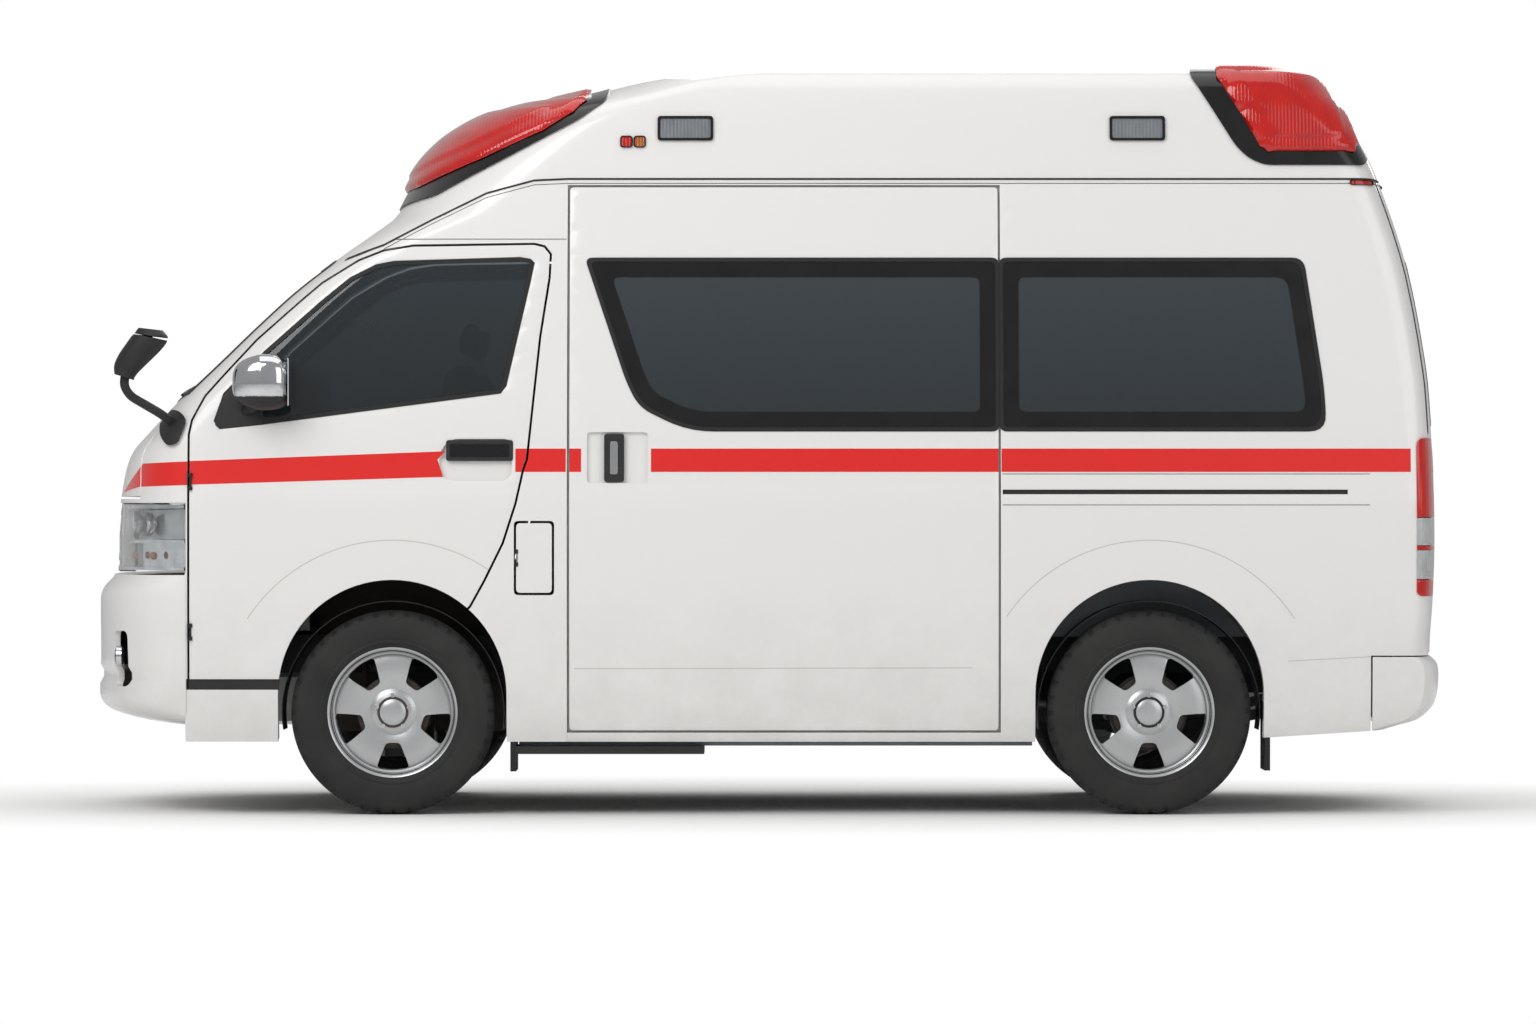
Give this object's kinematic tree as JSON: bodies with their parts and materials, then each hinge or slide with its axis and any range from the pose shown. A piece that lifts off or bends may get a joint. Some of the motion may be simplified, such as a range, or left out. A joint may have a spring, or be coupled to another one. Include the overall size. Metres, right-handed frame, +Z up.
{
  "type": "high-roof ambulance van",
  "caption": "High-roof ambulance van with hinged front doors, tailgate, bonnet and fuel lid, steered front wheels, hollow cab and load space.",
  "frame": {"origin": "on the ground at the middle of the vehicle's length and width", "axes": "-X forward, +Z up, -Y to the vehicle's left side"},
  "size_m": [4.664, 2.1994, 2.5878],
  "materials": {
    "white_paint": "glossy white body paint with a red stripe",
    "silver_trim": "bright plated plastic",
    "clear_lens": "clear moulded lens over bright reflectors",
    "tail_lens": "red and clear moulded lens",
    "beacon_lens": "deep red moulded lens",
    "black_trim": "grained black moulding",
    "dark_glass": "dark tinted safety glass",
    "cab_glass": "green tinted safety glass",
    "black_steel": "satin black chassis paint",
    "grey_floor": "ribbed grey sheet over steel",
    "bare_steel": "machined and rolled steel",
    "cast_iron": "rough cast",
    "hinge_steel": "white painted steel",
    "tyre_rubber": "moulded tread and sidewall",
    "alloy": "silver lacquered casting",
    "rubber": "black moulded rubber",
    "grey_plastic": "grained dark grey moulding",
    "seat_cloth": "woven grey cloth",
    "stretcher_vinyl": "orange coated cloth on a steel frame"
  },
  "bodies": {
    "body": {"chassis_frame": "black_steel", "floor": "grey_floor", "cab_shell": "white_paint", "left_side_panel": "white_paint", "right_side_panel": "white_paint", "roof_cap": "white_paint", "grille": "silver_trim", "front_bumper": "white_paint", "rear_bumper": "white_paint", "headlamps": "clear_lens", "tail_lamps": "tail_lens", "sliding_door": "white_paint", "side_windows": "dark_glass", "windscreen": "cab_glass", "beacon_bases": "black_trim", "beacon_lenses": "beacon_lens", "under_mirror": "black_trim", "hinges": "hinge_steel", "side_step": "black_trim", "mud_flaps": "rubber", "engine": "cast_iron", "fuel_tank": "black_steel", "exhaust": "bare_steel", "spare_wheel": "tyre_rubber", "rear_axle": "black_steel", "leaf_springs": "black_steel", "drive_shaft": "bare_steel", "front_suspension": "black_steel", "dashboard": "grey_plastic", "cab_seats": "seat_cloth", "stretcher": "stretcher_vinyl"},
    "left_front_door": {"left_front_door": "white_paint", "left_door_glass": "cab_glass", "left_door_mirror": "silver_trim"},
    "right_front_door": {"right_front_door": "white_paint", "right_door_glass": "cab_glass", "right_door_mirror": "silver_trim"},
    "tailgate": {"tailgate": "white_paint", "tailgate_glass": "dark_glass"},
    "bonnet": {"bonnet": "white_paint"},
    "fuel_lid": {"fuel_lid": "white_paint"},
    "left_knuckle": {"left_knuckle": "cast_iron"},
    "right_knuckle": {"right_knuckle": "cast_iron"},
    "front_left_wheel": {"front_left_tyre": "tyre_rubber", "front_left_rim": "alloy"},
    "front_right_wheel": {"front_right_tyre": "tyre_rubber", "front_right_rim": "alloy"},
    "rear_left_wheel": {"rear_left_tyre": "tyre_rubber", "rear_left_rim": "alloy"},
    "rear_right_wheel": {"rear_right_tyre": "tyre_rubber", "rear_right_rim": "alloy"},
    "steering_wheel": {"steering_wheel": "grey_plastic"}
  },
  "joints": [
    {"name": "left_front_door_swing", "type": "hinge", "parent": "body", "child": "left_front_door", "pos_m": [-1.952, -0.936, 0.875], "axis": [0, 0, -1], "range_deg": [0, 70]},
    {"name": "right_front_door_swing", "type": "hinge", "parent": "body", "child": "right_front_door", "pos_m": [-1.952, 0.936, 0.875], "axis": [0, 0, 1], "range_deg": [0, 70]},
    {"name": "tailgate_lift", "type": "hinge", "parent": "body", "child": "tailgate", "pos_m": [2.13248, 0, 2.152], "axis": [0, -1, 0], "range_deg": [0, 85]},
    {"name": "bonnet_lift", "type": "hinge", "parent": "body", "child": "bonnet", "pos_m": [-2.096, 0, 1.355], "axis": [0, 1, 0], "range_deg": [0, 50]},
    {"name": "fuel_lid_swing", "type": "hinge", "parent": "body", "child": "fuel_lid", "pos_m": [-0.844, -0.939, 0.871], "axis": [0, 0, -1], "range_deg": [0, 95]},
    {"name": "left_steer", "type": "hinge", "parent": "body", "child": "left_knuckle", "pos_m": [-1.268, -0.75, 0.3465], "axis": [0, 0, 1], "range_deg": [-34, 34]},
    {"name": "right_steer", "type": "hinge", "parent": "body", "child": "right_knuckle", "pos_m": [-1.268, 0.75, 0.3465], "axis": [0, 0, 1], "range_deg": [-34, 34]},
    {"name": "steering_wheel_turn", "type": "hinge", "parent": "body", "child": "steering_wheel", "pos_m": [-1.64, 0.41, 1.3], "axis": [0.6428, 0, 0.766], "range_deg": [-510, 510]},
    {"name": "front_left_wheel_spin", "type": "hinge", "parent": "left_knuckle", "child": "front_left_wheel", "pos_m": [-1.268, -0.827, 0.3465], "axis": [0, 1, 0], "continuous": true},
    {"name": "front_right_wheel_spin", "type": "hinge", "parent": "right_knuckle", "child": "front_right_wheel", "pos_m": [-1.268, 0.827, 0.3465], "axis": [0, 1, 0], "continuous": true},
    {"name": "rear_left_wheel_spin", "type": "hinge", "parent": "body", "child": "rear_left_wheel", "pos_m": [1.302, -0.827, 0.3465], "axis": [0, 1, 0], "continuous": true},
    {"name": "rear_right_wheel_spin", "type": "hinge", "parent": "body", "child": "rear_right_wheel", "pos_m": [1.302, 0.827, 0.3465], "axis": [0, 1, 0], "continuous": true}
  ],
  "couplings": [
    {"joint": "right_steer", "follows": "left_steer", "ratio": 1},
    {"joint": "steering_wheel_turn", "follows": "left_steer", "ratio": 15}
  ]
}
